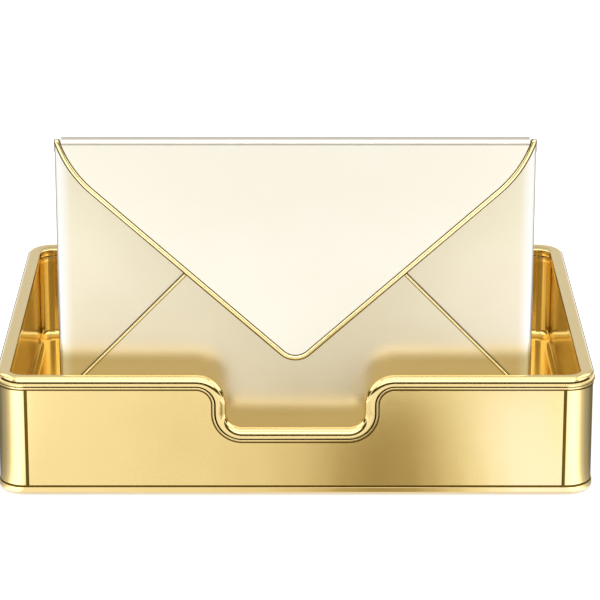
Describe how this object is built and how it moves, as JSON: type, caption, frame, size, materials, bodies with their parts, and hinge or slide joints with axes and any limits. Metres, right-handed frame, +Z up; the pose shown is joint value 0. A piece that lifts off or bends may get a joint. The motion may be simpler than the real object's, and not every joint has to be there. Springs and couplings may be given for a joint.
{
  "type": "letter tray with envelope",
  "caption": "Open rectangular metal letter tray with a scooped front and rounded rim, holding one stiff envelope upright behind the front wall.",
  "frame": {"origin": "on the desk, under the middle of the tray's footprint", "axes": "+X to the right along the tray's width, -Y to the front with the scoop, +Z up"},
  "size_m": [0.2896, 0.2176, 0.1736],
  "materials": {
    "satin_brass": "satin polished",
    "polished_brass": "mirror polished",
    "liner_brass": "polished",
    "plain_brass": "plain",
    "bead_brass": "mirror polished",
    "champagne_sheet": "satin champagne anodised",
    "screw_steel": "plain",
    "foot_rubber": "matt"
  },
  "bodies": {
    "tray": {"outer_shell": "satin_brass", "inner_liner": "liner_brass", "rim_cap": "polished_brass", "base_moulding": "polished_brass", "base_plate": "plain_brass", "foot_front_left": "foot_rubber", "foot_front_right": "foot_rubber", "foot_rear_left": "foot_rubber", "foot_rear_right": "foot_rubber", "foot_screws": "screw_steel", "floor_spacers": "screw_steel", "letter_rail": "liner_brass", "rail_rivets": "plain_brass"},
    "envelope": {"back_panel": "champagne_sheet", "side_flap_left": "champagne_sheet", "side_flap_right": "champagne_sheet", "bottom_flap": "champagne_sheet", "seam_bead_left": "bead_brass", "seam_bead_right": "bead_brass", "hinge_rod": "screw_steel"},
    "flap": {"top_flap": "champagne_sheet", "flap_piping": "bead_brass"}
  },
  "joints": [
    {"name": "envelope_lift", "type": "slide", "parent": "tray", "child": "envelope", "axis": [0, 0, 1], "range_m": [0, 0.09]},
    {"name": "flap_hinge", "type": "hinge", "parent": "envelope", "child": "flap", "pos_m": [0, -0.0852, 0.1704], "axis": [-1, 0, 0], "range_deg": [0, 180]}
  ]
}
